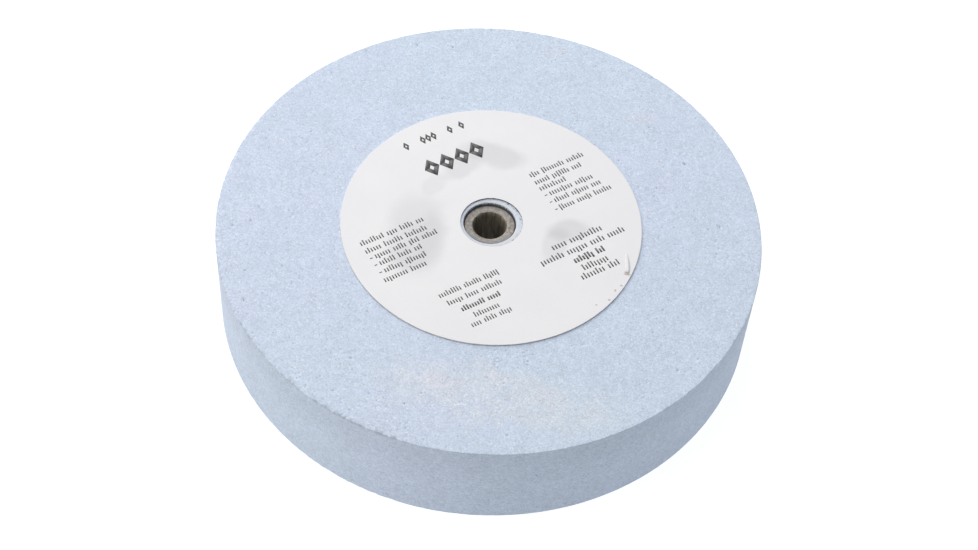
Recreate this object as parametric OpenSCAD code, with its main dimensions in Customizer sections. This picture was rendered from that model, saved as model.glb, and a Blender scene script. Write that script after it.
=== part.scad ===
// Grinding wheel of a wet sharpener: a bonded stone with a cemented steel bush
// and a glued paper label on each face.
// It lies flat. +Z is the wheel's axis, and z = 0 is the rear label's outer face.

/* [Stone] */
// Outer diameter of the stone
stone_d = 200; // [150:1:250]
// Thickness of the stone between its two flat faces
stone_t = 40; // [20:1:60]
// Diameter of the hole that the bush is cemented into
stone_bore_d = 19.2; // [19:0.1:22]
// Width of the bevel around both edges of the rim
rim_bevel = 0.4; // [0.1:0.1:1.5]
// Width of the bevel at both mouths of the stone's hole
mouth_bevel = 0.3; // [0.1:0.1:0.8]

/* [Bush] */
// Bore of the bush, a sliding fit on a 12 mm spindle
arbor_bore_d = 12.1; // [10:0.1:15]
// Outer diameter of the bush
bush_d = 18.6; // [18:0.1:18.8]
// How far each end of the bush lies below the stone's face
bush_recess = 1.3; // [0.5:0.1:4]
// Width of the bevel inside both mouths of the bush
bush_bore_bevel = 0.4; // [0.1:0.05:0.5]
// Width of the bevel around both ends of the bush
bush_rim_bevel = 0.2; // [0.1:0.05:0.5]
// How far the cement lies below each end of the bush
cement_recess = 0.4; // [0.1:0.1:2]

/* [Labels] */
// Diameter of the paper labels
label_d = 110.5; // [60:0.5:130]
// Diameter of the hole in the paper labels
label_hole_d = 22.8; // [22.4:0.1:40]
// Thickness of the paper
label_t = 0.4; // [0.2:0.05:1]
// How far the front label is glued off the wheel's axis, along X and Y
front_label_shift = [0.6, 0.1]; // [-1:0.1:1]
// Thickness of the glue under each label
glue_t = 0.1; // [0.05:0.05:0.3]
// How far the glue stops short of the paper's two edges
glue_margin = 0.6; // [0.2:0.1:2]

/* [Hidden] */
$fn = 180;

skin_t = label_t + glue_t;
stone_z0 = skin_t;
stone_z1 = stone_z0 + stone_t;
cement_inset = bush_recess + cement_recess;

stone_colour = [0.79, 0.84, 0.91];
steel_colour = [0.66, 0.64, 0.61];
cement_colour = [0.30, 0.32, 0.36];
paper_colour = [0.93, 0.93, 0.93];
glue_colour = [0.55, 0.56, 0.60];

// Ring about the Z axis with a bevel on its outer and inner edges.
module bevelled_ring(outer_d, inner_d, z0, z1, outer_bevel, inner_bevel) {
    outer_r = outer_d / 2;
    inner_r = inner_d / 2;
    rotate_extrude()
        polygon([
            [inner_r, z0 + inner_bevel],
            [inner_r + inner_bevel, z0],
            [outer_r - outer_bevel, z0],
            [outer_r, z0 + outer_bevel],
            [outer_r, z1 - outer_bevel],
            [outer_r - outer_bevel, z1],
            [inner_r + inner_bevel, z1],
            [inner_r, z1 - inner_bevel]
        ]);
}

// Plain ring about the Z axis, with square edges.
module flat_ring(outer_d, inner_d, z0, height) {
    rotate_extrude()
        translate([inner_d / 2, z0])
            square([(outer_d - inner_d) / 2, height]);
}

// Paper disc of one label, from z0 up.
module label_disc(z0) {
    flat_ring(label_d, label_hole_d, z0, label_t);
}

// Glue under one label, which stops short of the paper's edges.
module glue_disc(z0) {
    flat_ring(label_d - 2 * glue_margin, label_hole_d + 2 * glue_margin, z0, glue_t);
}

module grinding_stone() {
    color(stone_colour)
        bevelled_ring(stone_d, stone_bore_d, stone_z0, stone_z1, rim_bevel, mouth_bevel);
}

module arbor_bush() {
    color(steel_colour)
        bevelled_ring(
            bush_d, arbor_bore_d,
            stone_z0 + bush_recess, stone_z1 - bush_recess,
            bush_rim_bevel, bush_bore_bevel
        );
}

module bush_cement() {
    color(cement_colour)
        flat_ring(stone_bore_d, bush_d, stone_z0 + cement_inset, stone_t - 2 * cement_inset);
}

module front_label() {
    color(paper_colour)
        translate(front_label_shift)
            label_disc(stone_z1 + glue_t);
}

module front_glue_film() {
    color(glue_colour)
        translate(front_label_shift)
            glue_disc(stone_z1);
}

module rear_label() {
    color(paper_colour)
        label_disc(0);
}

module rear_glue_film() {
    color(glue_colour)
        glue_disc(label_t);
}

grinding_stone();
arbor_bush();
bush_cement();
front_label();
front_glue_film();
rear_label();
rear_glue_film();
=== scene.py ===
"""The looks of a wet grinding wheel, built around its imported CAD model.

Lengths are in millimetres until a mesh is made. Every mesh is made in the CAD's own frame:
+Z is the wheel's axis, and the wheel lies on its rear label at z = 0.
"""
import math
import random
from collections import namedtuple

import bpy
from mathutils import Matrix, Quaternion, Vector, noise
from mathutils.geometry import delaunay_2d_cdt


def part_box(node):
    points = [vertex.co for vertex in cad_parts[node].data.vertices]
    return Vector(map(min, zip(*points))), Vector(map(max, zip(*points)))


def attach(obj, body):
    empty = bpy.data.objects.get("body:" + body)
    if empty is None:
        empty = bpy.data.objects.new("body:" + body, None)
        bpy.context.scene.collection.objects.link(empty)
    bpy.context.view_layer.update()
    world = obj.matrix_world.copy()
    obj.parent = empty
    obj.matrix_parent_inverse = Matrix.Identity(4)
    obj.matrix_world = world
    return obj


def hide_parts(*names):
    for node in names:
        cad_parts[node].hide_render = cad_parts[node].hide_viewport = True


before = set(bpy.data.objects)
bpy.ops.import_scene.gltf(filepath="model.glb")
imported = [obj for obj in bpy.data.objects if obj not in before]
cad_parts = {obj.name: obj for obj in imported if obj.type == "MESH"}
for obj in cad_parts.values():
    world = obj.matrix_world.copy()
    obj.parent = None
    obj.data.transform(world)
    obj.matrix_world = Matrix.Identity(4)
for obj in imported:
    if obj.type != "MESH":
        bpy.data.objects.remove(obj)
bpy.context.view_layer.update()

MM = 0.001
TURN = math.tau

# Camera: a close view from above, a little out of level. It aims at a point on the front face.
CAMERA_DISTANCE = 708.0
CAMERA_ELEVATION = math.radians(50.81)
CAMERA_AIM = (1.1, -24.0)
CAMERA_ROLL = math.radians(4.46)
CAMERA_LENS = 71.06

# Floor and backdrop
STAGE_REACH = 8500.0
STAGE_SIDES = 96
STAGE_ROWS = 12
FLOOR_GAP = 0.02
FLOOR_GLOW = 0.87
WHITE_GLOW = 1.05
BACKDROP_DROP = 60.0

# Stone surface: gaps between its points, and depths of its wear, waves and grain
EDGE_ROUND = 0.12
EDGE_GUARD = 0.18
RIM_POINTS = 1400
MOUTH_POINTS = 150
MOUTH_ROUND = 0.3
FACE_GAP = 1.15
HIDDEN_GAP = 4.0
MOUTH_GAP = 0.6
JITTER = 0.28
ROW_PITCH = 0.87
WAVE_DEPTH = 0.05
WAVE_SCALE = 22
FACE_GRAIN = 0.035
RIM_GRAIN = 0.06
FACE_PITS = 260
RIM_PITS = 260
PIT_DEPTH = 0.16
EDGE_ROUGHNESS = 0.02
EDGE_CHIPS = 600
FRONT_WEAR = 1.0
REAR_WEAR = 0.3
CRUMBLY_FROM = math.radians(165)
CRUMBLY_TO = math.radians(255)
# Chips: how rare large ones are, the least depth, and how much deeper the largest one is
CRUMBLY_CHIPS = (2, 0.12, 0.50)
SOUND_CHIPS = (4, 0.02, 0.20)

# A lip on the near side of the stone's front mouth, which stands into the hole
LIP_AT = math.radians(258)
LIP_HEIGHT = 0.45
LIP_FALL = 1.4
MOUTH_NICKS = 0.10

# Patches where pores crowd together on the front face: x, y, half width, half height and how many
PORE_PATCHES = (
    (11.0, -58.0, 6.0, 1.6, 9),
    (6.0, -61.0, 0.9, 4.5, 10),
    (16.0, -60.5, 0.9, 4.5, 10),
    (70.9, 40.6, 1.4, 1.4, 4),
    (82.8, -24.5, 2.8, 0.8, 5),
    (-44.8, -87.5, 1.0, 1.0, 3),
)

# Rusty spots and blushes on the front face: x, y, half width and half height
FACE_BLUSHES = (
    (24, -75, 4.5, 4),
    (7.5, -68, 4, 3),
    (-12, -71.5, 9, 3),
    (55, 58, 6, 4),
    (20, 89, 5, 3),
)

# Paper labels
PAPER_GAP = 2.2
PAPER_SWELL = 0.05
PAPER_SWELL_SCALE = 17
PAPER_EDGE_POINTS = 720
PAPER_HOLE_POINTS = 180
PAPER_EDGE_ROUND = 0.05
PAPER_EDGE_GUARD = 0.12
OUTER_FRAY = 0.006
HOLE_FRAY = 0.02
FLAP_ROWS = 9
FLAP_COLUMNS = 4
FLAP_THICKNESS = 0.13

# Grey smudges on the front label: x, y, half width, half height, turn and strength
SMUDGES = (
    (-26.6, -8.0, 10.8, 17.5, 0.0, 0.55),
    (-20.0, -9.5, 5.3, 12.5, 0.0, 0.38),
    (-29.0, -19.0, 7.0, 6.5, 0.0, 0.35),
    (-27.5, -7.5, 4.0, 5.0, 0.0, 0.20),
    (-21.5, 15.5, 3.5, 5.0, -0.6, 0.35),
    (-12.5, 25.5, 8.0, 4.3, 0.75, 0.60),
    (-0.5, 32.8, 11.5, 5.2, -0.25, 0.72),
    (28.8, -1.2, 7.8, 5.0, 0.30, 0.75),
    (24.3, -8.3, 4.6, 7.6, -0.35, 0.50),
)

# Brown nicks in the front label near its edge: x, y, half width and half height
PAPER_NICKS = (
    (48.6, -24.7, 0.5, 0.4),
    (46.5, -27.1, 0.4, 0.5),
    (44.5, -31.4, 0.5, 0.4),
    (39.9, -34.1, 0.4, 0.3),
    (50.6, -19.3, 1.3, 0.45),
)

# Glue films
GLUE_POINTS = 360
GLUE_CREEP = 0.5
GLUE_CREEP_SCALE = 3.0

# Print on the front label, in its own axes: u along the lines and v up the page
PRINT_ANGLE = math.radians(33)
INK_LIFT = 0.02
INK_SINK = 0.02
DIAMOND_HOLE = 0.30
BAR_PITCH = 0.44
BAR_SHARE = 0.46
BOLD_BAR_SHARE = 0.60
LOW_LETTER = 0.72
BARS_IN_GROUP = (4, 9)

# Bush and cement
BUSH_POINTS = 192
BUSH_END_STEP = 0.33
BUSH_END_STEPS = 9
BUSH_RIM_BEVEL = 0.2
BUSH_BORE_BEVEL = 0.4
BORE_STEPS = 22
CEMENT_POINTS = 240
CEMENT_BUMP = 0.12

Ring = namedtuple("Ring", "x y inner outer low high")


# ---- sizes from the CAD model

def cad_ring(node):
    """Centre, radii and heights of a ring-shaped CAD node, in mm."""
    low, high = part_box(node)
    x, y = (low.x + high.x) / 2, (low.y + high.y) / 2
    radii = [math.hypot(v.co.x - x, v.co.y - y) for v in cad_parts[node].data.vertices]
    return Ring(x / MM, y / MM, min(radii) / MM, max(radii) / MM, low.z / MM, high.z / MM)


STONE = cad_ring("grinding_stone")
BUSH = cad_ring("arbor_bush")
CEMENT = cad_ring("bush_cement")
MIDDLE = (STONE.low + STONE.high) / 2
FRONT_LABEL = cad_ring("front_label")
REAR_LABEL = cad_ring("rear_label")
FRONT_GLUE = cad_ring("front_glue_film")
REAR_GLUE = cad_ring("rear_glue_film")


# ---- mesh tools

class Shell:
    """Points in mm and faces, gathered one surface at a time and joined by shared points."""

    def __init__(self):
        self.points = []
        self.hollows = []
        self.faces = []
        self.finishes = []

    def add(self, points, hollows=None):
        """Adds points, with how far each lies in a hollow, which sets the painted shade there, and returns
        their indices.
        """
        start = len(self.points)
        self.points += [Vector(p) for p in points]
        self.hollows += hollows or [0.0] * len(points)
        return list(range(start, len(self.points)))

    def face(self, corners, finish=0):
        self.faces.append(tuple(corners))
        self.finishes.append(finish)

    def strip(self, ring_a, ring_b, finish=0):
        """Joins two equal rings. The faces look up where ring_b is the wider one."""
        count = len(ring_a)
        for i in range(count):
            j = (i + 1) % count
            self.face((ring_a[i], ring_b[i], ring_b[j], ring_a[j]), finish)

    def to_piece(self, name, materials, node):
        """Makes the piece that stands for a CAD node, with the given materials, and hides the node."""
        mesh = bpy.data.meshes.new(name)
        mesh.from_pydata([p * MM for p in self.points], [], self.faces)
        for material in materials:
            mesh.materials.append(material)
        mesh.polygons.foreach_set("material_index", self.finishes)
        mesh.polygons.foreach_set("use_smooth", [True] * len(self.faces))
        # How far each point lies in a hollow, which the stone's material turns into painted shade
        hollow = mesh.attributes.new("hollow", "FLOAT", "POINT")
        hollow.data.foreach_set("value", self.hollows)
        mesh.validate()
        mesh.update()
        piece = bpy.data.objects.new(name, mesh)
        bpy.context.scene.collection.objects.link(piece)
        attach(piece, "root")
        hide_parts(node)
        return piece


def even_angles(count):
    return [TURN * i / count for i in range(count)]


def polar(radius, angle, z=None):
    flat = (radius * math.cos(angle), radius * math.sin(angle))
    return flat if z is None else (*flat, z)


def fill_ring(flat, inner_count, outer_count):
    """Triangles over a ring-shaped area, as triples of indices into flat.

    The first points of flat are the inner loop and the next ones the outer loop, both
    counter-clockwise. The rest lie between them.
    """
    edges = [(i, (i + 1) % inner_count) for i in range(inner_count)]
    edges += [(inner_count + i, inner_count + (i + 1) % outer_count) for i in range(outer_count)]
    made = delaunay_2d_cdt([Vector(p) for p in flat], edges, [], 0, 1e-6, True)
    index = [origins[0] for origins in made[3]]
    triangles = []
    for face in made[2]:
        a, b, c = (index[i] for i in face)
        if max(a, b, c) < inner_count:
            keep = (b - a) % inner_count > (c - a) % inner_count
        elif min(a, b, c) >= inner_count and max(a, b, c) < inner_count + outer_count:
            keep = (b - a) % outer_count < (c - a) % outer_count
        else:
            keep = True
        if keep:
            triangles.append((a, b, c))
    return triangles


def scatter(inner, outer, gap_at, rng):
    """Polar points spread evenly over a flat ring, in jittered rows. gap_at gives the gap at a radius."""
    points = []
    radius = inner
    while True:
        gap = gap_at(radius)
        radius += ROW_PITCH * gap
        if radius > outer - 0.45 * gap:
            return points
        count = max(12, round(TURN * radius / gap))
        turn = rng.random() * TURN
        for i in range(count):
            angle = turn + (i + rng.uniform(-JITTER, JITTER)) * TURN / count
            points.append((radius + rng.uniform(-JITTER, JITTER) * gap, angle))


def drift(x, y, z, scale):
    """Smooth noise from -1 to 1 whose features are about scale mm across."""
    return noise.noise(Vector((x, y, z)) / scale)


# ---- the stone

def wave(x, y, z):
    """How far the long, shallow unevenness of the stone lowers a point."""
    return WAVE_DEPTH * (0.5 + 0.5 * drift(x, y, z, WAVE_SCALE))


class Pores:
    """Open pores over a surface measured in (along, across) mm, each with its own few points."""

    CELL = 2.0
    # Rings of points in each pore: their share of its radius, their count and their share of its depth
    RINGS = ((0.55, 5, 0.85), (1.0, 8, 0.0))
    CLEARANCE = 1.6

    def __init__(self, centres, rng):
        self.pits = []
        self.cells = {}
        for along, across in centres:
            # Few are large
            radius = 0.14 + 0.10 * rng.random() + 0.26 * rng.random() ** 5
            pit = (along, across, radius, radius * rng.uniform(0.5, 1.0))
            self.pits.append(pit)
            self.cells.setdefault((along // self.CELL, across // self.CELL), []).append(pit)

    def near(self, along, across):
        """True where a pore leaves no room for a plain surface point."""
        column, row = along // self.CELL, across // self.CELL
        return any(
            math.hypot(along - pit[0], across - pit[1]) < self.CLEARANCE * pit[2]
            for i in (-1, 0, 1)
            for j in (-1, 0, 1)
            for pit in self.cells.get((column + i, row + j), ())
        )

    def points(self, rng):
        """(along, across, depth) of every pore's floor, wall and lip."""
        made = []
        for along, across, radius, depth in self.pits:
            made.append((along, across, depth))
            for share, sides, level in self.RINGS:
                turn = rng.random() * TURN
                for i in range(sides):
                    reach = radius * share * rng.uniform(0.75, 1.25)
                    x, y = polar(reach, turn + TURN * i / sides)
                    made.append((along + x, across + y, level * depth))
        return made


def chips(rng):
    """Chips along one arris, each as an angle, a half width and a depth in mm.

    They are twice as many, and larger, where the arris is crumbly.
    """
    made = []
    for _ in range(EDGE_CHIPS):
        angle = rng.random() * TURN
        worn = CRUMBLY_FROM < angle < CRUMBLY_TO
        if not worn and rng.random() < 0.5:
            continue
        power, least, more = CRUMBLY_CHIPS if worn else SOUND_CHIPS
        size = rng.random() ** power
        made.append((angle, 0.3 + 0.9 * size, least + more * size))
    return made


def edge_wear(amount, rng):
    """Depth of the wear at each point along an arris of the rim, for an amount of wear from 0 to 1."""
    step = TURN * STONE.outer / RIM_POINTS
    wear = [EDGE_ROUGHNESS * abs(rng.gauss(0, 1)) for _ in range(RIM_POINTS)]
    for angle, half, depth in chips(rng):
        middle = angle * STONE.outer / step
        for i in range(math.floor(middle - half / step), math.ceil(middle + half / step) + 1):
            away = (i - middle) * step / half
            if abs(away) < 1:
                at = i % RIM_POINTS
                wear[at] = max(wear[at], depth * (1 - away * away) * rng.uniform(0.8, 1.2))
    return [amount * worn for worn in wear]


def arris(shell, z, side, amount, rng):
    """Rings of one worn arris, from the flat face to the rim. side is 1 at the front and -1 at the rear."""
    wear = edge_wear(amount, rng)
    turned = EDGE_ROUND * (1 - math.sqrt(0.5))
    # How far each ring lies inward and down from the sharp corner, and its share of the wear
    stations = (
        (EDGE_ROUND + EDGE_GUARD, 0.0, 0.25),
        (EDGE_ROUND, 0.0, 0.8),
        (turned, turned, 1.0),
        (0.0, EDGE_ROUND, 0.8),
        (0.0, EDGE_ROUND + EDGE_GUARD, 0.25),
    )
    rings = []
    for inward, down, share in stations:
        points = []
        hollows = []
        for angle, worn in zip(even_angles(RIM_POINTS), wear):
            loss = worn * share
            drop = wave(*polar(STONE.outer, angle), z)
            inward_loss = loss + drop if inward <= down else 0.5 * loss
            downward_loss = loss + drop if down <= inward else 0.5 * loss
            radius = STONE.outer - inward - inward_loss
            points.append(polar(radius, angle, z - side * (down + downward_loss)))
            # Chipped points get painted shade
            hollows.append(min(1.0, 2.0 * loss))
        rings.append(shell.add(points, hollows))
    return rings


def pitted(depth):
    """How far a point lies in a pore, from 0 to 1. Shallow grain doesn't count."""
    return min(1.0, 2.0 * depth) if depth > PIT_DEPTH else 0.0


def stone_face(shell, mouth, edge, z, side, label_outer, patches, rng):
    """One flat face, from the hole's ring of points to the arris. No pores lie under the label."""
    def gap_at(radius):
        if radius < STONE.inner + 3.0:
            return MOUTH_GAP
        return HIDDEN_GAP if radius < label_outer - 4.0 else FACE_GAP

    first = STONE.inner + MOUTH_ROUND
    last = STONE.outer - EDGE_ROUND - EDGE_GUARD
    centres = []
    while len(centres) < FACE_PITS:
        radius = math.sqrt(rng.uniform(label_outer ** 2, (last - 1.2) ** 2))
        centres.append(polar(radius, rng.random() * TURN))
    for x, y, half_x, half_y, count in patches:
        for _ in range(count):
            centres.append((x + half_x * rng.uniform(-1, 1), y + half_y * rng.uniform(-1, 1)))
    pores = Pores(centres, rng)
    inside = []
    for radius, angle in scatter(first, last, gap_at, rng):
        x, y = polar(radius, angle)
        if not pores.near(x, y):
            inside.append((x, y, FACE_GRAIN * abs(rng.gauss(0, 1))))
    inside += pores.points(rng)
    flat = [tuple(shell.points[i][:2]) for i in mouth + edge] + [(x, y) for x, y, _ in inside]
    added = shell.add(
        [(x, y, z - side * (depth + wave(x, y, z))) for x, y, depth in inside],
        [pitted(depth) for _, _, depth in inside],
    )
    known = mouth + edge + added
    for a, b, c in fill_ring(flat, len(mouth), len(edge)):
        corners = (known[a], known[b], known[c])
        shell.face(corners if side > 0 else corners[::-1])


def stone_rim(shell, front, rear, rng):
    """The round rim. It is triangulated laid out as a flat ring, whose radius grows with the height."""
    low = STONE.low + EDGE_ROUND + EDGE_GUARD
    high = STONE.high - EDGE_ROUND - EDGE_GUARD
    around = TURN * STONE.outer

    def laid_out(along, height):
        return polar(STONE.outer * math.exp((height - low) / STONE.outer), along / STONE.outer)

    centres = [
        (rng.uniform(1, around - 1), rng.uniform(low + 1, high - 1)) for _ in range(RIM_PITS)
    ]
    pores = Pores(centres, rng)
    inside = []
    rows = round((high - low) / (ROW_PITCH * FACE_GAP))
    columns = round(around / FACE_GAP)
    for row in range(1, rows):
        for column in range(columns):
            along = (column + 0.5 * (row % 2) + rng.uniform(-JITTER, JITTER)) * around / columns
            height = low + (row + rng.uniform(-JITTER, JITTER)) * (high - low) / rows
            if not pores.near(along, height):
                inside.append((along, height, RIM_GRAIN * abs(rng.gauss(0, 1))))
    inside += pores.points(rng)
    loop = [angle * STONE.outer for angle in even_angles(RIM_POINTS)]
    flat = [laid_out(along, low) for along in loop]
    flat += [laid_out(along, high) for along in loop]
    flat += [laid_out(along, height) for along, height, _ in inside]
    points = []
    for along, height, depth in inside:
        angle = along / STONE.outer
        lost = depth + wave(*polar(STONE.outer, angle), height)
        points.append(polar(STONE.outer - lost, angle, height))
    known = rear + front + shell.add(points, [pitted(depth) for _, _, depth in inside])
    for a, b, c in fill_ring(flat, RIM_POINTS, RIM_POINTS):
        shell.face((known[c], known[b], known[a]))


def mouth_lip(angle):
    """How far the lip stands into the hole at an angle. It fades out on both sides of its middle."""
    return LIP_HEIGHT * math.cos(min(TURN / 4, LIP_FALL * abs(angle - LIP_AT)))


def stone_mouth(shell, z, side, rng):
    """Rings of one mouth of the stone's hole, from the face down into the hole.

    The first rings are its nicked bevel, which has the lip at the front. The others are in the hole.
    """
    bevel = ((MOUTH_ROUND, 0.0), (0.3 * MOUTH_ROUND, 0.3 * MOUTH_ROUND), (0.0, MOUTH_ROUND))
    hole = ((0.0, 1.2), (0.0, 3.0))
    rings = []
    for outward, down in bevel + hole:
        in_bevel = down <= MOUTH_ROUND
        points = []
        for angle in even_angles(MOUTH_POINTS):
            nick = MOUTH_NICKS * abs(rng.gauss(0, 1)) if in_bevel else 0.5 * MOUTH_NICKS * rng.random()
            lip = mouth_lip(angle) if side > 0 and in_bevel else 0.0
            sink = down + 0.5 * nick + 0.02
            points.append(polar(STONE.inner + outward + nick - lip, angle, z - side * sink))
        rings.append(shell.add(points))
    return rings


def build_stone(material):
    """The bonded stone, with worn arrises, open pores and a slightly uneven, grainy surface."""
    rng = random.Random(11)
    shell = Shell()
    front_mouth = stone_mouth(shell, STONE.high, 1, rng)
    rear_mouth = stone_mouth(shell, STONE.low, -1, rng)
    front_edge = arris(shell, STONE.high, 1, FRONT_WEAR, rng)
    rear_edge = arris(shell, STONE.low, -1, REAR_WEAR, rng)
    front_loops = front_mouth[0], front_edge[0]
    rear_loops = rear_mouth[0], rear_edge[0]
    stone_face(shell, *front_loops, STONE.high, 1, FRONT_LABEL.outer, PORE_PATCHES, rng)
    stone_face(shell, *rear_loops, STONE.low, -1, REAR_LABEL.outer, (), rng)
    stone_rim(shell, front_edge[-1], rear_edge[-1], rng)
    for rings in (front_edge, rear_mouth):
        for a, b in zip(rings, rings[1:]):
            shell.strip(a, b)
    for rings in (rear_edge, front_mouth):
        for a, b in zip(rings, rings[1:]):
            shell.strip(b, a)
    shell.strip(rear_mouth[-1], front_mouth[-1])
    return shell.to_piece("stone_body", [material], "grinding_stone")


# ---- the labels and their glue

def front_paper_rise(x, y):
    """How far the front label's uneven glue lifts the paper at a point."""
    return PAPER_SWELL * (1 + drift(x, y, 5.0, PAPER_SWELL_SCALE))


def flat_paper_rise(_x, _y):
    return 0.0


def paper_loop(shell, ring, radius, lost, z, rise):
    """Points round one edge of a label. lost gives how much paper is missing at each, in mm."""
    points = []
    for angle, missing in zip(even_angles(len(lost)), lost):
        x, y = polar(radius + missing, angle)
        points.append((ring.x + x, ring.y + y, z + rise(ring.x + x, ring.y + y)))
    return shell.add(points)


def frayed(count, depth, rng):
    """Missing paper along a cut edge: fine fraying, with a few deeper nicks."""
    lost = [depth * abs(rng.gauss(0, 1)) for _ in range(count)]
    for _ in range(count // 40):
        at = rng.randrange(count)
        lost[at] += 4 * depth * rng.random()
        lost[(at + 1) % count] += 2 * depth * rng.random()
    return lost


def paper_sheet(shell, ring, rise, rng):
    """A closed paper disc with a hole.

    Finish 0 is its flat sides, 1 its outer edge and 2 its hole's edge.
    """
    outer_lost = [-lost for lost in frayed(PAPER_EDGE_POINTS, OUTER_FRAY, rng)]
    hole_lost = frayed(PAPER_HOLE_POINTS, HOLE_FRAY, rng)
    high, low, soft = ring.high, ring.low, PAPER_EDGE_ROUND
    profile = (
        (soft + PAPER_EDGE_GUARD, high), (soft, high), (0, high - soft),
        (0, low + soft), (soft, low), (soft + PAPER_EDGE_GUARD, low),
    )
    outer_loops = [
        paper_loop(shell, ring, ring.outer - back, outer_lost, z, rise) for back, z in profile
    ]
    hole_loops = [
        paper_loop(shell, ring, ring.inner + back, hole_lost, z, rise) for back, z in profile
    ]
    inside = [
        (ring.x + radius * math.cos(angle), ring.y + radius * math.sin(angle))
        for radius, angle in scatter(ring.inner + 0.6, ring.outer, lambda _: PAPER_GAP, rng)
    ]
    for level, z in ((0, ring.high), (-1, ring.low)):
        loops = hole_loops[level] + outer_loops[level]
        flat = [tuple(shell.points[i][:2]) for i in loops] + inside
        known = loops + shell.add([(x, y, z + rise(x, y)) for x, y in inside])
        for a, b, c in fill_ring(flat, PAPER_HOLE_POINTS, PAPER_EDGE_POINTS):
            corners = (known[a], known[b], known[c])
            shell.face(corners if level == 0 else corners[::-1])
    for i, is_cut in enumerate((0, 1, 1, 1, 0)):
        shell.strip(outer_loops[i], outer_loops[i + 1], is_cut)
        shell.strip(hole_loops[i + 1], hole_loops[i], 2 * is_cut)


def flap_point(down, across, underside):
    """A point of the torn flap, from 0 to 1 down it and across it."""
    top, left, right = Vector((50.0, -10.0)), Vector((49.7, -18.6)), Vector((51.4, -18.9))
    bulge = 0.5 * math.sin(math.pi * down) * across
    at = top.lerp(left.lerp(right, across), down) + Vector((bulge + 0.5 * across * (1 - down), 0))
    ragged = 0.25 * drift(at.x, at.y, 2.0, 0.9) * down
    lifted = 0.15 + 0.10 * down ** 1.6 - underside
    surface = FRONT_LABEL.high + front_paper_rise(at.x, at.y)
    return at.x, at.y + ragged, surface + lifted


def torn_flap(shell):
    """A narrow tongue of torn paper at the front label's edge, lifted most at its lower end."""
    rows, columns = FLAP_ROWS, FLAP_COLUMNS
    upper, under = (
        [
            shell.add([flap_point(i / (rows - 1), j / (columns - 1), sunk) for j in range(columns)])
            for i in range(rows)
        ]
        for sunk in (0.0, FLAP_THICKNESS)
    )
    for i in range(rows - 1):
        for j in range(columns - 1):
            shell.face((upper[i][j], upper[i + 1][j], upper[i + 1][j + 1], upper[i][j + 1]))
            shell.face((under[i][j], under[i][j + 1], under[i + 1][j + 1], under[i + 1][j]))
    # The torn edges have finish 3
    for i in range(rows - 1):
        shell.face((upper[i][0], under[i][0], under[i + 1][0], upper[i + 1][0]), 3)
        shell.face((upper[i][-1], upper[i + 1][-1], under[i + 1][-1], under[i][-1]), 3)
    for j in range(columns - 1):
        shell.face((upper[0][j], upper[0][j + 1], under[0][j + 1], under[0][j]), 3)
        shell.face((upper[-1][j], under[-1][j], under[-1][j + 1], upper[-1][j + 1]), 3)


def build_front_label(materials):
    """The paper disc on the front face, a little uneven, frayed at its hole and torn at one place."""
    shell = Shell()
    paper_sheet(shell, FRONT_LABEL, front_paper_rise, random.Random(21))
    torn_flap(shell)
    return shell.to_piece("front_label_paper", materials, "front_label")


def build_rear_label(materials):
    """The paper disc that the wheel lies on."""
    shell = Shell()
    paper_sheet(shell, REAR_LABEL, flat_paper_rise, random.Random(22))
    return shell.to_piece("rear_label_paper", materials, "rear_label")


def build_glue(name, ring, node, material, seed):
    """A thin film of glue whose edges run a little unevenly."""
    shell = Shell()
    loops = []
    for radius in (ring.inner, ring.outer):
        for z in (ring.low, ring.high):
            points = []
            for angle in even_angles(GLUE_POINTS):
                creep = GLUE_CREEP * drift(*polar(radius, angle), seed, GLUE_CREEP_SCALE)
                x, y = polar(radius + creep, angle)
                points.append((ring.x + x, ring.y + y, z))
            loops.append(shell.add(points))
    inner_low, inner_high, outer_low, outer_high = loops
    shell.strip(inner_high, outer_high)
    shell.strip(outer_high, outer_low)
    shell.strip(outer_low, inner_low)
    shell.strip(inner_low, inner_high)
    return shell.to_piece(name, [material], node)


# ---- the print

def box_mark(left, bottom, right, top):
    return ((left, bottom), (right, bottom), (right, top), (left, top))


def diamond(u, v, width, height):
    """The four sides of a hollow diamond, from its lower left corner."""
    def corners(scale):
        around = ((0.0, -0.5), (0.5, 0.0), (0.0, 0.5), (-0.5, 0.0))
        return [(u + (0.5 + scale * x) * width, v + (0.5 + scale * y) * height) for x, y in around]

    outer, inner = corners(1.0), corners(DIAMOND_HOLE)
    return [(outer[i], outer[(i + 1) % 4], inner[(i + 1) % 4], inner[i]) for i in range(4)]


def hatched_line(u, v, length, height, rng, bold=False, dash=False):
    """A line of upright bars in uneven groups, which stands for a line of small print.

    A few bars are taller or hang lower. A dash takes the first bar's place where asked for.
    """
    pitch = BAR_PITCH * height
    width = (BOLD_BAR_SHARE if bold else BAR_SHARE) * pitch
    bars = round(length / pitch)
    marks = []
    left_in_group = 0 if dash else rng.randint(*BARS_IN_GROUP)
    for i in range(bars):
        left = u + i * (length - width) / (bars - 1)
        if dash and i == 0:
            marks.append(box_mark(left, v + 0.28 * height, left + pitch, v + 0.44 * height))
        elif left_in_group > 0 or i >= bars - 3:
            tall = 1.0 if rng.random() < 0.3 else LOW_LETTER
            low = -0.2 if rng.random() < 0.1 else 0.0
            marks.append(box_mark(left, v + low * height, left + width, v + tall * height))
            left_in_group -= 1
        else:
            left_in_group = rng.randint(*BARS_IN_GROUP)
    return marks


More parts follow.
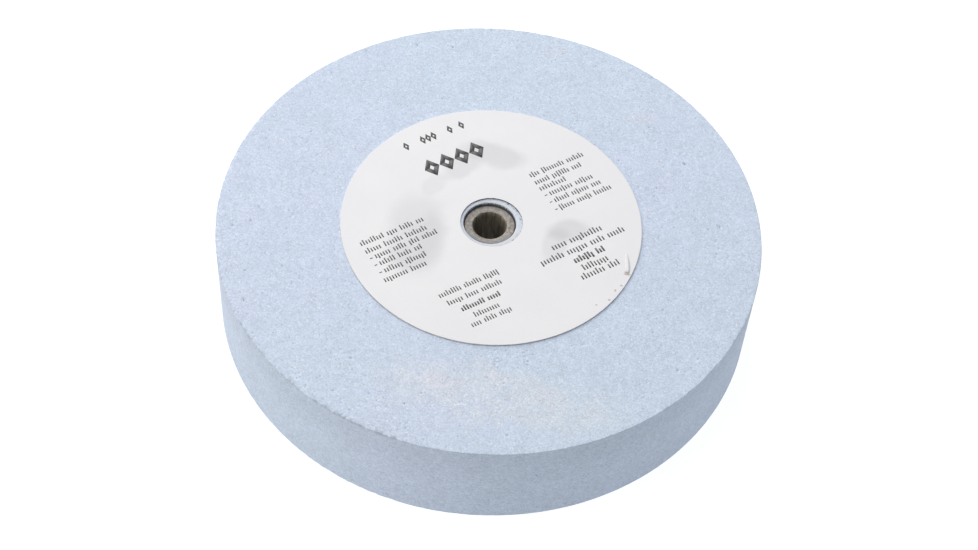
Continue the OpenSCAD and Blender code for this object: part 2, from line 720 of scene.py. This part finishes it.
def print_marks():
    """Every convex mark on the front label, in the print's own axes, measured from the label's middle."""
    rng = random.Random(31)
    marks = []
    # A row of small, well spaced diamonds at the top, then a row of large ones
    for u in (-11.6, -4.5, -2.2, 0.1, 7.1, 12.1):
        marks += diamond(u, 44.6, 2.3, 4.4)
    for u in (-9.9, -3.55, 2.8, 9.15):
        marks += diamond(u, 28.7, 6.2, 8.8)
    # Two blocks of small print that start at a left margin, whose lower lines start with a dash
    rows = (11.9, 7.9, 4.5, 1.0, -2.7, -6.6)
    left_lengths = (25.5, 24.7, 27.2, 19.0, 18.7, 16.8)
    right_lengths = (23.0, 19.7, 10.9, 20.5, 21.8, 24.0)
    for i, (v, left, right) in enumerate(zip(rows, left_lengths, right_lengths)):
        marks += hatched_line(23.8, v, right, 2.4, rng, dash=i > 2)
        marks += hatched_line(-47.3, v, left, 2.4, rng, dash=1 < i < 5)
    # Two centred blocks below the hole, whose third line is bold
    rows = (-21.9, -26.2, -30.7, -34.9, -38.4)
    left_lengths = (24.0, 21.6, 15.5, 9.8, 15.9)
    right_lengths = (20.7, 35.0, 12.6, 10.2, 15.6)
    for i, (v, left, right) in enumerate(zip(rows, left_lengths, right_lengths)):
        marks += hatched_line(-21.4 - left / 2, v, left, 2.3, rng, bold=i == 2)
        marks += hatched_line(23.9 - right / 2, v, right, 2.7, rng, bold=i == 2)
    return marks


def build_print(material):
    """The print, as thin closed marks of ink that follow the paper."""
    shell = Shell()
    cos, sin = math.cos(PRINT_ANGLE), math.sin(PRINT_ANGLE)
    for mark in print_marks():
        flat = [
            (FRONT_LABEL.x + u * cos - v * sin, FRONT_LABEL.y + u * sin + v * cos) for u, v in mark
        ]
        heights = [FRONT_LABEL.high + front_paper_rise(x, y) for x, y in flat]
        top = shell.add([(x, y, z + INK_LIFT) for (x, y), z in zip(flat, heights)])
        base = shell.add([(x, y, z - INK_SINK) for (x, y), z in zip(flat, heights)])
        shell.face(top)
        shell.face(base[::-1])
        shell.strip(top, base)
    return shell.to_piece("front_label_print", [material], "front_label")


# ---- the bush and its cement

def lathe(shell, stations, count, rng, finishes, uneven):
    """A closed ring turned from stations of (radius, z).

    uneven(radius, z, angle, rng) gives how far each point moves out and up.
    """
    loops = []
    for radius, z in stations:
        points = []
        for angle in even_angles(count):
            out, up = uneven(radius, z, angle, rng)
            points.append(polar(radius + out, angle, z + up))
        loops.append(shell.add(points))
    for i, finish in enumerate(finishes):
        shell.strip(loops[(i + 1) % len(loops)], loops[i], finish)


def bush_unevenness(radius, z, angle, rng):
    """How far a point of the bush moves out and up: streaks in its bore, and lumps on its ends."""
    x, y = polar(radius, angle)
    if radius < BUSH.inner + 0.05:
        streak = drift(x * 4, y * 4, z * 0.3, 3.0)
        return 0.05 * (0.5 + 0.5 * streak) + 0.01 * rng.random(), 0.0
    if radius > BUSH.outer - 0.1:
        return -0.04 * rng.random(), 0.0
    sink = 0.05 * abs(drift(x, y, z, 1.1)) + 0.02 * rng.random()
    return 0.12 * drift(x, y, z, 2.0), -sink if z > MIDDLE else sink


def build_bush(materials):
    """The steel bush. Its end faces and outside have finish 0, and its bore and front bevel finish 1."""
    inner, outer, low, high = BUSH.inner, BUSH.outer, BUSH.low, BUSH.high
    end_radii = [outer - BUSH_RIM_BEVEL - BUSH_END_STEP * i for i in range(BUSH_END_STEPS)]
    bevel_edge = inner + 0.9 * BUSH_BORE_BEVEL
    bevel_start = 0.15 * BUSH_BORE_BEVEL
    bore_high = high - BUSH_BORE_BEVEL
    bore_step = (high - low - 2 * BUSH_BORE_BEVEL) / BORE_STEPS

    stations = [(radius, high) for radius in end_radii]
    stations += [(bevel_edge, high - bevel_start)]
    stations += [(inner, bore_high - bore_step * i) for i in range(BORE_STEPS + 1)]
    stations += [(bevel_edge, low + bevel_start)]
    stations += [(radius, low) for radius in reversed(end_radii)]
    stations += [(outer, low + BUSH_RIM_BEVEL), (outer, high - BUSH_RIM_BEVEL)]
    finishes = [0] * len(end_radii) + [1] * (BORE_STEPS + 2)
    finishes += [0] * (len(stations) - len(finishes))
    shell = Shell()
    lathe(shell, stations, BUSH_POINTS, random.Random(41), finishes, bush_unevenness)
    return shell.to_piece("arbor_bush_body", materials, "arbor_bush")


def build_cement(material):
    """The ring of cement between the bush and the stone, rough at both ends."""
    def uneven(_radius, z, angle, rng):
        lump = abs(drift(*polar(9, angle), z, 1.5))
        bump = CEMENT_BUMP * rng.random() + CEMENT_BUMP * lump
        return 0.0, -bump if z > MIDDLE else bump

    middle = (CEMENT.inner + CEMENT.outer) / 2
    stations = [
        (CEMENT.outer, CEMENT.high), (middle, CEMENT.high), (CEMENT.inner, CEMENT.high),
        (CEMENT.inner, CEMENT.low), (middle, CEMENT.low), (CEMENT.outer, CEMENT.low),
    ]
    shell = Shell()
    lathe(shell, stations, CEMENT_POINTS, random.Random(42), [0] * len(stations), uneven)
    return shell.to_piece("bush_cement_ring", [material], "bush_cement")


# ---- materials

class Finish:
    """A Principled material, and short ways to add the nodes that feed it."""

    def __init__(self, name, roughness, metallic=0.0, specular=0.5):
        self.material = bpy.data.materials.new(name)
        self.material.use_nodes = True
        self.tree = self.material.node_tree
        self.shader = self.tree.nodes["Principled BSDF"]
        self.shader.inputs["Roughness"].default_value = roughness
        self.shader.inputs["Metallic"].default_value = metallic
        self.shader.inputs["Specular IOR Level"].default_value = specular
        self.place = self.node("ShaderNodeTexCoord").outputs["Object"]

    def node(self, kind, inputs=None, **settings):
        made = self.tree.nodes.new(kind)
        for name, value in settings.items():
            setattr(made, name, value)
        for key, value in (inputs or {}).items():
            if isinstance(value, bpy.types.NodeSocket):
                self.tree.links.new(value, made.inputs[key])
            else:
                made.inputs[key].default_value = value
        return made

    def sum(self, operation, a, b=0.0):
        """One arithmetic step, named as Blender's Math node names it."""
        return self.node("ShaderNodeMath", {0: a, 1: b}, operation=operation).outputs[0]

    def band(self, value, start, end, low=0.0, high=1.0):
        """A smooth step from low to high as value goes from start to end."""
        inputs = {"Value": value, "From Min": start, "From Max": end, "To Min": low, "To Max": high}
        return self.node("ShaderNodeMapRange", inputs, interpolation_type="SMOOTHSTEP").outputs["Result"]

    def noise(self, size, detail=2.0, roughness=0.5, place=None):
        """Noise whose largest features are about size mm across."""
        inputs = {
            "Vector": place or self.place,
            "Scale": 1 / (size * MM),
            "Detail": detail,
            "Roughness": roughness,
        }
        return self.node("ShaderNodeTexNoise", inputs).outputs["Fac"]

    def grains(self, size):
        """Two random values for each of the cells, which are about size mm across."""
        cells = self.node("ShaderNodeTexVoronoi", {"Vector": self.place, "Scale": 1 / (size * MM)})
        channels = self.node("ShaderNodeSeparateColor", {0: cells.outputs["Color"]})
        return channels.outputs[0], channels.outputs[1]

    def blend(self, factor, a, b, kind="MIX"):
        """Colour a turned to b by factor."""
        inputs = {0: factor, 6: a, 7: b}
        return self.node("ShaderNodeMix", inputs, data_type="RGBA", blend_type=kind).outputs[2]

    def shade(self, colour, value):
        """Colour multiplied by a value."""
        grey = self.node("ShaderNodeCombineColor", {0: value, 1: value, 2: value}).outputs[0]
        return self.blend(1.0, colour, grey, "MULTIPLY")

    def vector(self, operation, inputs):
        """One step of vector arithmetic, named as Blender's Vector Math node names it."""
        return self.node("ShaderNodeVectorMath", inputs, operation=operation).outputs[0]

    def length(self, vector):
        made = self.node("ShaderNodeVectorMath", {0: vector}, operation="LENGTH")
        return made.outputs["Value"]

    def spot(self, x, y, half_x, half_y, turn=0.0, ragged=3.0, soft=0.3):
        """A soft-edged ellipse on a flat face, 1 in its middle and 0 outside.

        Its place, its half widths and how ragged its edge is are in mm.
        """
        inputs = {"Vector": self.place, "Scale": 90.0, "Detail": 3.0}
        wobble = self.node("ShaderNodeTexNoise", inputs).outputs["Color"]
        shift = self.vector("SUBTRACT", {0: wobble, 1: (0.5, 0.5, 0.5)})
        shift = self.vector("SCALE", {0: shift, "Scale": ragged * 2 * MM})
        inputs = {
            "Vector": self.vector("ADD", {0: self.place, 1: shift}),
            "Location": (x * MM, y * MM, 0),
            "Rotation": (0, 0, turn),
            "Scale": (half_x * MM, half_y * MM, 1.0),
        }
        local = self.node("ShaderNodeMapping", inputs, vector_type="TEXTURE").outputs[0]
        away = self.length(self.vector("MULTIPLY", {0: local, 1: (1, 1, 0)}))
        return self.band(away, 1.0 + soft, 1.0 - soft)

    def from_axis(self):
        """A point's distance from the wheel's axis, in mm."""
        return self.length(self.vector("MULTIPLY", {0: self.place, 1: (1 / MM, 1 / MM, 0)}))

    def coordinate(self, axis):
        """A point's place along X, Y or Z, whose numbers are 0, 1 and 2, in mm."""
        split = self.node("ShaderNodeSeparateXYZ", {0: self.place})
        return self.sum("MULTIPLY", split.outputs[axis], 1 / MM)

    def finish(self, colour, height=None, depth=0.05, roughness=None):
        """Feeds the shader its colour, and a bump of so many mm and a roughness if given."""
        self.tree.links.new(colour, self.shader.inputs["Base Color"])
        if height is not None:
            bump = self.node("ShaderNodeBump", {"Height": height, "Distance": depth * MM, "Strength": 1.0})
            self.tree.links.new(bump.outputs[0], self.shader.inputs["Normal"])
        if roughness is not None:
            self.tree.links.new(roughness, self.shader.inputs["Roughness"])
        return self.material


def grain_colour(finish, tone, kind, fine, on_face):
    """Pale blue grains in faintly cloudy patches, with white and dark specks."""
    light = (0.675, 0.763, 0.932, 1)
    dark = (0.575, 0.657, 0.817, 1)
    clump, _ = finish.grains(0.95)
    cloud = finish.noise(14.0, 3.0, 0.55)
    patch = finish.noise(3.0, 2.0, 0.5)
    hue = finish.noise(90.0, 3.0, 0.5)
    colour = finish.blend(finish.band(tone, 0.0, 1.0), dark, light)
    colour = finish.shade(colour, finish.band(fine, 0.25, 0.75, 0.913, 1.082))
    colour = finish.shade(colour, finish.band(clump, 0.0, 1.0, 0.97, 1.03))
    colour = finish.shade(colour, finish.band(patch, 0.3, 0.7, 0.98, 1.02))
    colour = finish.shade(colour, finish.band(cloud, 0.3, 0.7, 0.984, 1.016))
    greener = finish.band(hue, 0.4, 0.6)
    colour = finish.blend(greener, colour, (0.985, 1.004, 0.985, 1), "MULTIPLY")
    white_speck = finish.band(kind, 0.968, 0.978)
    white_speck = finish.sum("MULTIPLY", white_speck, finish.band(on_face, 0, 1, 0.3, 0.8))
    colour = finish.blend(white_speck, colour, (0.82, 0.875, 0.96, 1))
    dark_speck = finish.sum("MULTIPLY", finish.band(kind, 0.022, 0.014), 0.42)
    return finish.blend(dark_speck, colour, (0.32, 0.37, 0.44, 1))


def rim_blotches_and_painted_shade(finish, colour, on_face):
    """The rim is blotchier than the faces, and has painted shade: it is a little darker than the faces, and
    darker still toward its front arris.
    """
    blotches = finish.band(finish.noise(1.7, 3.0, 0.6), 0.3, 0.7, -0.035, 0.035)
    blotches = finish.sum("MULTIPLY", blotches, finish.sum("SUBTRACT", 1.0, on_face))
    colour = finish.shade(colour, finish.sum("ADD", blotches, 1.0))
    # Painted shade over the rim, deepest just under the front arris
    shade = finish.band(finish.coordinate(2), STONE.high - 22, STONE.high - 3, 0.945, 0.88)
    return finish.shade(colour, finish.sum("MAXIMUM", shade, on_face))


def stained(finish, colour, on_face):
    """A broad beige stain in front of the label, three faint rusty spots in it, and two pink blushes."""
    stain = finish.spot(6, -76, 41, 11.5, math.radians(-8), 9.0)
    cloudy = finish.band(finish.noise(7.0, 4.0, 0.6), 0.35, 0.6, 0.55, 1.0)
    stain = finish.sum("MULTIPLY", stain, cloudy)
    stain = finish.sum("MULTIPLY", stain, on_face)
    colour = finish.blend(stain, colour, (1.085, 1.042, 0.99, 1), "MULTIPLY")
    for x, y, half_x, half_y in FACE_BLUSHES:
        rust = finish.sum("MULTIPLY", finish.spot(x, y, half_x, half_y, 0.0, 4.0), on_face)
        colour = finish.blend(rust, colour, (1.03, 0.993, 0.982, 1), "MULTIPLY")
    return colour


def hub_soil_and_painted_light(finish, colour):
    """Bleached stone inside the label's hole, whitish paste there with a painted highlight toward the near
    side, dark grime with painted shade at the foot of the label's hole edge, and dark blotches at the mouth
    of the stone's hole.
    """
    away = finish.from_axis()
    blotch = finish.noise(1.3, 3.0, 0.65)
    in_hole = finish.band(away, 12.2, 11.2)
    bleach = finish.sum("MULTIPLY", in_hole, finish.band(blotch, 0.35, 0.6, 0.35, 0.75))
    colour = finish.blend(bleach, colour, (0.76, 0.785, 0.84, 1))
    # Whitish paste and a painted highlight, heavier toward the near side
    toward_camera = finish.band(finish.coordinate(1), -1.0, -6.0, 0.0, 0.7)
    paste_and_highlight = finish.sum("MULTIPLY", in_hole, toward_camera)
    colour = finish.blend(paste_and_highlight, colour, (0.70, 0.70, 0.745, 1))
    # Dark grime and painted shade in blotches, at the foot of the label's hole edge
    patchiness = finish.sum("MULTIPLY", finish.band(away, 10.9, 11.4), finish.band(away, 13.0, 12.0))
    patchiness = finish.sum("MULTIPLY", patchiness, finish.band(blotch, 0.52, 0.60, 0.0, 0.8))
    colour = finish.blend(patchiness, colour, (0.22, 0.25, 0.31, 1))
    # The mouth of the stone's hole is darkened in blotches
    mouth_darkening = finish.band(away, STONE.inner + 0.14, STONE.inner + 0.04)
    mouth_darkening = finish.sum("MULTIPLY", mouth_darkening, finish.band(blotch, 0.30, 0.40))
    return finish.blend(mouth_darkening, colour, (0.15, 0.175, 0.21, 1))


def stone_finish():
    """Bonded abrasive, stained on its faces, with painted shade on its rim and in its pores and chips, and
    soiled round the hub with some painted light there.
    """
    finish = Finish("bonded_stone", 0.92, specular=0.25)
    tone, kind = finish.grains(0.46)
    fine = finish.noise(0.35, 3.0, 0.6)
    normal = finish.node("ShaderNodeNewGeometry").outputs["Normal"]
    facing = finish.node("ShaderNodeSeparateXYZ", {0: normal}).outputs[2]
    on_face = finish.band(finish.sum("ABSOLUTE", facing), 0.3, 0.8)
    colour = grain_colour(finish, tone, kind, fine, on_face)
    colour = rim_blotches_and_painted_shade(finish, colour, on_face)
    colour = stained(finish, colour, on_face)
    hollow = finish.node("ShaderNodeAttribute", attribute_name="hollow").outputs["Fac"]
    # Painted shade in pores and chips, deepest where a point lies deepest in a hollow
    colour = finish.shade(colour, finish.band(hollow, 0.0, 1.0, 1.0, 0.70))
    colour = hub_soil_and_painted_light(finish, colour)
    relief = finish.sum("ADD", finish.sum("MULTIPLY", tone, 0.5), fine)
    return finish.finish(colour, relief, 0.05)


def paper_finish():
    """White label paper with a faint grain, grey smudges from its glue and nicks near its torn edge."""
    finish = Finish("label_paper", 0.62, specular=0.35)
    fibre = finish.noise(0.5, 4.0, 0.65)
    cloud = finish.noise(20.0, 3.0, 0.5)
    shaded = finish.band(cloud, 0.35, 0.65)
    colour = finish.blend(shaded, (0.838, 0.844, 0.884, 1), (0.853, 0.858, 0.896, 1))
    colour = finish.shade(colour, finish.band(fibre, 0.3, 0.7, 0.985, 1.01))
    for x, y, half_x, half_y, turn, strength in SMUDGES:
        spot = finish.sum("MULTIPLY", finish.spot(x, y, half_x, half_y, turn, 3.0, 0.35), strength)
        colour = finish.blend(spot, colour, (0.81, 0.81, 0.823, 1), "MULTIPLY")
    for x, y, half_x, half_y in PAPER_NICKS:
        nick = finish.sum("MULTIPLY", finish.spot(x, y, half_x, half_y, 0.0, 0.6), 0.75)
        colour = finish.blend(nick, colour, (0.50, 0.41, 0.34, 1))
    return finish.finish(colour, fibre, 0.01)


def plain_paper_finish():
    """The rear label's paper, a little soiled where the wheel has been laid down."""
    finish = Finish("rear_label_paper", 0.66, specular=0.35)
    fibre = finish.noise(0.5, 4.0, 0.65)
    soil = finish.band(finish.noise(11.0, 4.0, 0.6), 0.45, 0.75)
    colour = finish.blend(soil, (0.86, 0.86, 0.865, 1), (0.70, 0.70, 0.70, 1))
    colour = finish.shade(colour, finish.band(fibre, 0.3, 0.7, 0.985, 1.01))
    return finish.finish(colour, fibre, 0.01)


def cut_edge_finish(name, dirty, clean):
    """A cut edge of the paper, in patches of two colours."""
    finish = Finish(name, 0.85, specular=0.2)
    patchiness = finish.band(finish.noise(0.9, 3.0, 0.7), 0.35, 0.65)
    return finish.finish(finish.blend(patchiness, dirty, clean), patchiness, 0.03)


def torn_finish():
    """Torn paper fibre, browned by glue."""
    finish = Finish("torn_paper", 0.9, specular=0.2)
    fibre = finish.noise(0.3, 3.0, 0.7)
    clean = finish.band(fibre, 0.35, 0.65)
    colour = finish.blend(clean, (0.30, 0.22, 0.16, 1), (0.62, 0.55, 0.48, 1))
    return finish.finish(colour, fibre, 0.03)


def ink_finish():
    """Printing ink, worn a little where the paper's grain shows through."""
    finish = Finish("printing_ink", 0.5, specular=0.4)
    wear = finish.band(finish.noise(0.35, 3.0, 0.6), 0.45, 0.75)
    colour = finish.blend(wear, (0.115, 0.115, 0.12, 1), (0.18, 0.18, 0.185, 1))
    return finish.finish(colour, wear, 0.005)


def glue_finish():
    """Dried glue that has caught dust."""
    finish = Finish("dried_glue", 0.6, specular=0.4)
    dust = finish.band(finish.noise(1.2, 3.0, 0.6), 0.35, 0.65)
    colour = finish.blend(dust, (0.32, 0.33, 0.36, 1), (0.48, 0.49, 0.52, 1))
    return finish.finish(colour, dust, 0.03)


def bush_face_finish():
    """Dull bare steel, mottled and faintly brown."""
    finish = Finish("bush_steel", 0.6, metallic=0.35, specular=0.4)
    mottle = finish.band(finish.noise(1.4, 4.0, 0.65), 0.35, 0.65)
    tint = finish.band(finish.noise(3.2, 2.0, 0.5), 0.4, 0.6)
    colour = finish.blend(mottle, (0.215, 0.20, 0.18, 1), (0.43, 0.405, 0.375, 1))
    colour = finish.blend(finish.sum("MULTIPLY", tint, 0.4), colour, (0.39, 0.345, 0.345, 1))
    # The outer edge of the face is greyer on the near side
    near_side = finish.band(finish.coordinate(1), -3.0, -6.0)
    near_edge_grey = finish.sum("MULTIPLY", finish.band(finish.from_axis(), 7.6, 8.1), near_side)
    colour = finish.blend(finish.sum("MULTIPLY", near_edge_grey, 0.85), colour, (0.27, 0.29, 0.31, 1))
    pores = finish.noise(0.4, 3.0, 0.6)
    colour = finish.shade(colour, finish.band(pores, 0.3, 0.6, 0.82, 1.05))
    return finish.finish(colour, pores, 0.06)


def bush_bore_finish():
    """The bore's oxidised steel, streaked along the axis."""
    finish = Finish("bush_bore_steel", 0.5, metallic=0.2, specular=0.4)
    along = finish.node("ShaderNodeMapping", {"Vector": finish.place, "Scale": (1, 1, 0.12)}).outputs[0]
    streak = finish.band(finish.noise(0.9, 4.0, 0.6, along), 0.35, 0.65)
    colour = finish.blend(streak, (0.15, 0.136, 0.11, 1), (0.33, 0.30, 0.25, 1))
    return finish.finish(colour, streak, 0.04)


def cement_finish():
    """Dark, gritty cement."""
    finish = Finish("cement", 0.95, specular=0.2)
    tone, _ = finish.grains(0.3)
    grit = finish.noise(0.5, 3.0, 0.6)
    colour = finish.blend(tone, (0.07, 0.08, 0.095, 1), (0.14, 0.155, 0.175, 1))
    return finish.finish(colour, grit, 0.1)


def floor_finish():
    """A white floor that glows, so that shadows on it stay faint. It is brightest far from the wheel."""
    finish = Finish("floor", 0.9, specular=0.1)
    finish.shader.inputs["Base Color"].default_value = (0.3, 0.3, 0.3, 1)
    finish.shader.inputs["Emission Color"].default_value = (0.98, 1.0, 1.02, 1)
    glow = finish.band(finish.from_axis(), 500.0, 1500.0, FLOOR_GLOW, WHITE_GLOW)
    finish.tree.links.new(glow, finish.shader.inputs["Emission Strength"])
    finish.material.cycles.emission_sampling = "NONE"
    return finish.material


def backdrop_finish():
    """Plain white."""
    finish = Finish("backdrop", 1.0, specular=0.0)
    finish.shader.inputs["Base Color"].default_value = (0, 0, 0, 1)
    finish.shader.inputs["Emission Color"].default_value = (1, 1, 1, 1)
    finish.shader.inputs["Emission Strength"].default_value = WHITE_GLOW
    finish.material.cycles.emission_sampling = "NONE"
    return finish.material


# ---- camera, floor and light

def build_camera():
    """A long lens that looks down at the wheel, close enough to fill the frame."""
    camera = bpy.data.objects.new("camera", bpy.data.cameras.new("camera"))
    camera.data.lens = CAMERA_LENS
    camera.data.clip_start = 0.01
    camera.data.clip_end = 50.0
    away = CAMERA_DISTANCE * math.cos(CAMERA_ELEVATION)
    above = STONE.high + CAMERA_DISTANCE * math.sin(CAMERA_ELEVATION)
    eye = Vector((0.0, -away, above))
    aim = Vector((*CAMERA_AIM, STONE.high))
    camera.location = eye * MM
    level = (aim - eye).to_track_quat("-Z", "Y")
    camera.rotation_mode = "QUATERNION"
    camera.rotation_quaternion = level @ Quaternion((0, 0, 1), CAMERA_ROLL)
    bpy.context.scene.collection.objects.link(camera)
    bpy.context.scene.camera = camera


def staged(name, points, faces, material):
    """A mesh that isn't part of the object, from points in mm."""
    mesh = bpy.data.meshes.new(name)
    mesh.from_pydata([Vector(p) * MM for p in points], [], faces)
    mesh.materials.append(material)
    made = bpy.data.objects.new(name, mesh)
    bpy.context.scene.collection.objects.link(made)
    return made


def build_floor(material):
    """A round floor, just under the rear label."""
    rim = [polar(STAGE_REACH, angle, -FLOOR_GAP) for angle in even_angles(STAGE_SIDES)]
    staged("floor", rim, [tuple(range(STAGE_SIDES))], material)


def build_backdrop(material):
    """A white dome over the floor, which the camera sees but which lights nothing."""
    points = []
    faces = []
    for row in range(STAGE_ROWS + 1):
        rise = 0.25 * TURN * row / (STAGE_ROWS + 1)
        radius = STAGE_REACH * math.cos(rise)
        z = STAGE_REACH * math.sin(rise) - BACKDROP_DROP
        points += [polar(radius, angle, z) for angle in even_angles(STAGE_SIDES)]
    for row in range(STAGE_ROWS):
        low, high = row * STAGE_SIDES, (row + 1) * STAGE_SIDES
        for i in range(STAGE_SIDES):
            j = (i + 1) % STAGE_SIDES
            faces.append((low + i, high + i, high + j, low + j))
    faces.append(tuple(STAGE_ROWS * STAGE_SIDES + i for i in reversed(range(STAGE_SIDES))))
    dome = staged("backdrop", points, faces, material)
    dome.visible_diffuse = False
    dome.visible_glossy = False
    dome.visible_shadow = False


def softbox(name, azimuth, elevation, distance, size, power, colour=(1, 1, 1)):
    """A square area light that faces the wheel, with its distance and size in metres.

    Its azimuth is counter-clockwise from +X, and both its angles are in degrees.
    """
    light = bpy.data.lights.new(name, "AREA")
    light.shape = "SQUARE"
    light.size = size
    light.energy = power
    light.color = colour
    turn, rise = math.radians(azimuth), math.radians(elevation)
    toward = Vector(polar(math.cos(rise), turn, math.sin(rise)))
    lamp = bpy.data.objects.new(name, light)
    lamp.location = toward * distance
    lamp.rotation_mode = "QUATERNION"
    lamp.rotation_quaternion = (-toward).to_track_quat("-Z", "Y")
    lamp.visible_camera = False
    bpy.context.scene.collection.objects.link(lamp)


def build_light():
    """Large softboxes overhead, behind and at both sides, in dim surroundings."""
    world = bpy.data.worlds.new("surroundings")
    world.use_nodes = True
    surroundings = world.node_tree.nodes["Background"]
    surroundings.inputs["Color"].default_value = (1, 1, 1, 1)
    surroundings.inputs["Strength"].default_value = 0.015
    bpy.context.scene.world = world
    softbox("overhead", 110, 85, 1.8, 1.6, 16.3)
    softbox("back", 112, 30, 1.6, 1.2, 18.5, (1.0, 0.985, 0.973))
    softbox("left", 200, 30, 1.6, 1.2, 11.2, (1.0, 0.96, 0.845))
    softbox("right", 0, 30, 1.6, 1.2, 3.4, (0.965, 0.975, 1.0))
    bpy.context.scene.view_settings.view_transform = "Standard"


# ---- the scene

build_camera()
build_light()
build_floor(floor_finish())
build_backdrop(backdrop_finish())

stone_material = stone_finish()
build_stone(stone_material)
outer_edge = cut_edge_finish("paper_outer_edge", (0.80, 0.76, 0.75, 1), (0.92, 0.90, 0.90, 1))
hole_edge = cut_edge_finish("paper_hole_edge", (0.14, 0.155, 0.18, 1), (0.30, 0.32, 0.36, 1))
build_front_label([paper_finish(), outer_edge, hole_edge, torn_finish()])
build_rear_label([plain_paper_finish(), outer_edge, hole_edge])
build_print(ink_finish())
glue_material = glue_finish()
build_glue("front_glue_body", FRONT_GLUE, "front_glue_film", glue_material, 1.0)
build_glue("rear_glue_body", REAR_GLUE, "rear_glue_film", glue_material, 2.0)
build_bush([bush_face_finish(), bush_bore_finish()])
build_cement(cement_finish())
